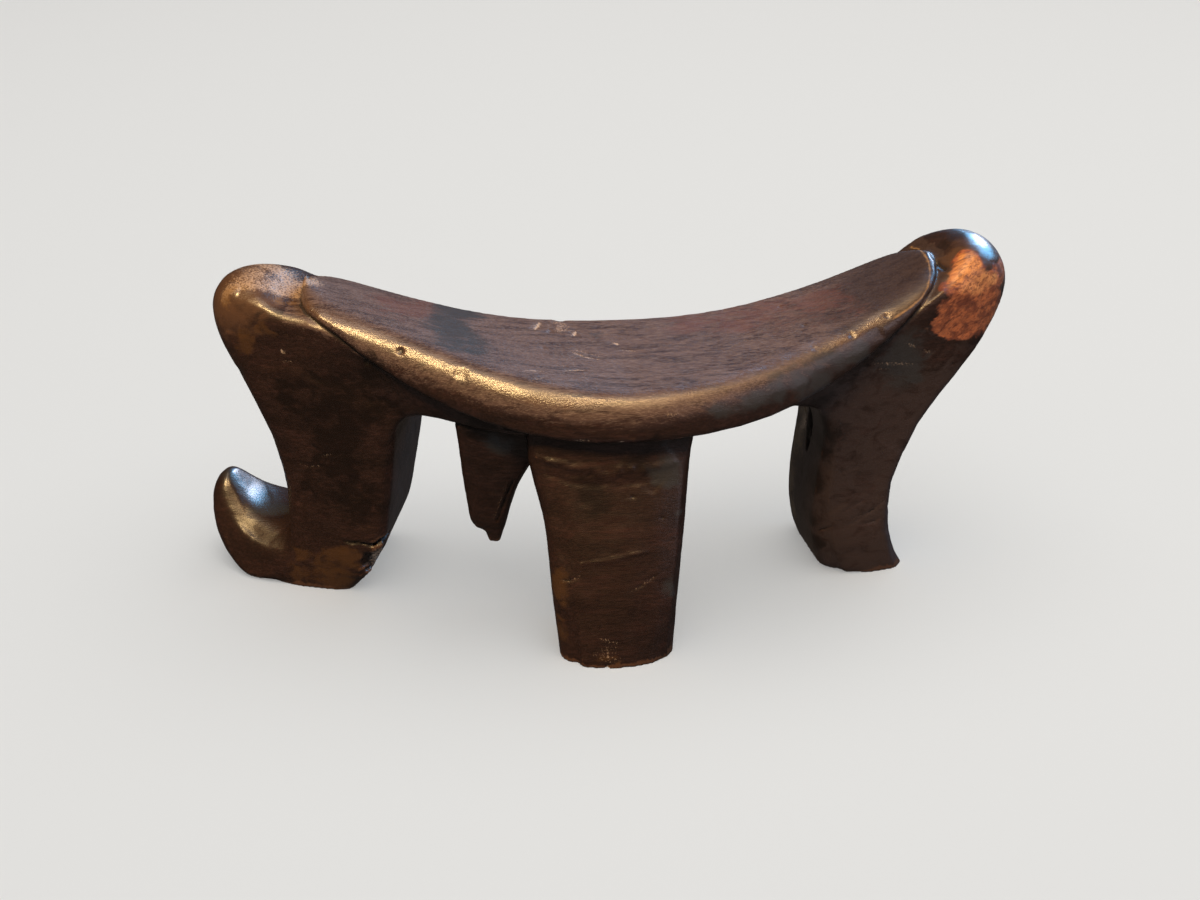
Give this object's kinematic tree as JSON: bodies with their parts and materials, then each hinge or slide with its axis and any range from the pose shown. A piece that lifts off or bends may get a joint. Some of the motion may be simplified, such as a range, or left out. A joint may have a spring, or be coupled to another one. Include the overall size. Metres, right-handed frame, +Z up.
{
  "type": "carved headrest",
  "caption": "Low headrest carved in one piece from a forked branch, with a bowed seat, end legs under rounded knobs, a splayed front leg, a broken stub and an upturned toe.",
  "frame": {"origin": "floor level, in the middle of the headrest's box", "axes": "+X along the seat towards the right knob, +Y towards the back, away from the front leg, +Z up"},
  "size_m": [0.4724, 0.1714, 0.194],
  "materials": {
    "wood": "dark hardwood, hand cut with an adze and knife and polished by use to a warm brown gloss"
  },
  "bodies": {
    "root": {"headrest": "wood"}
  },
  "joints": []
}
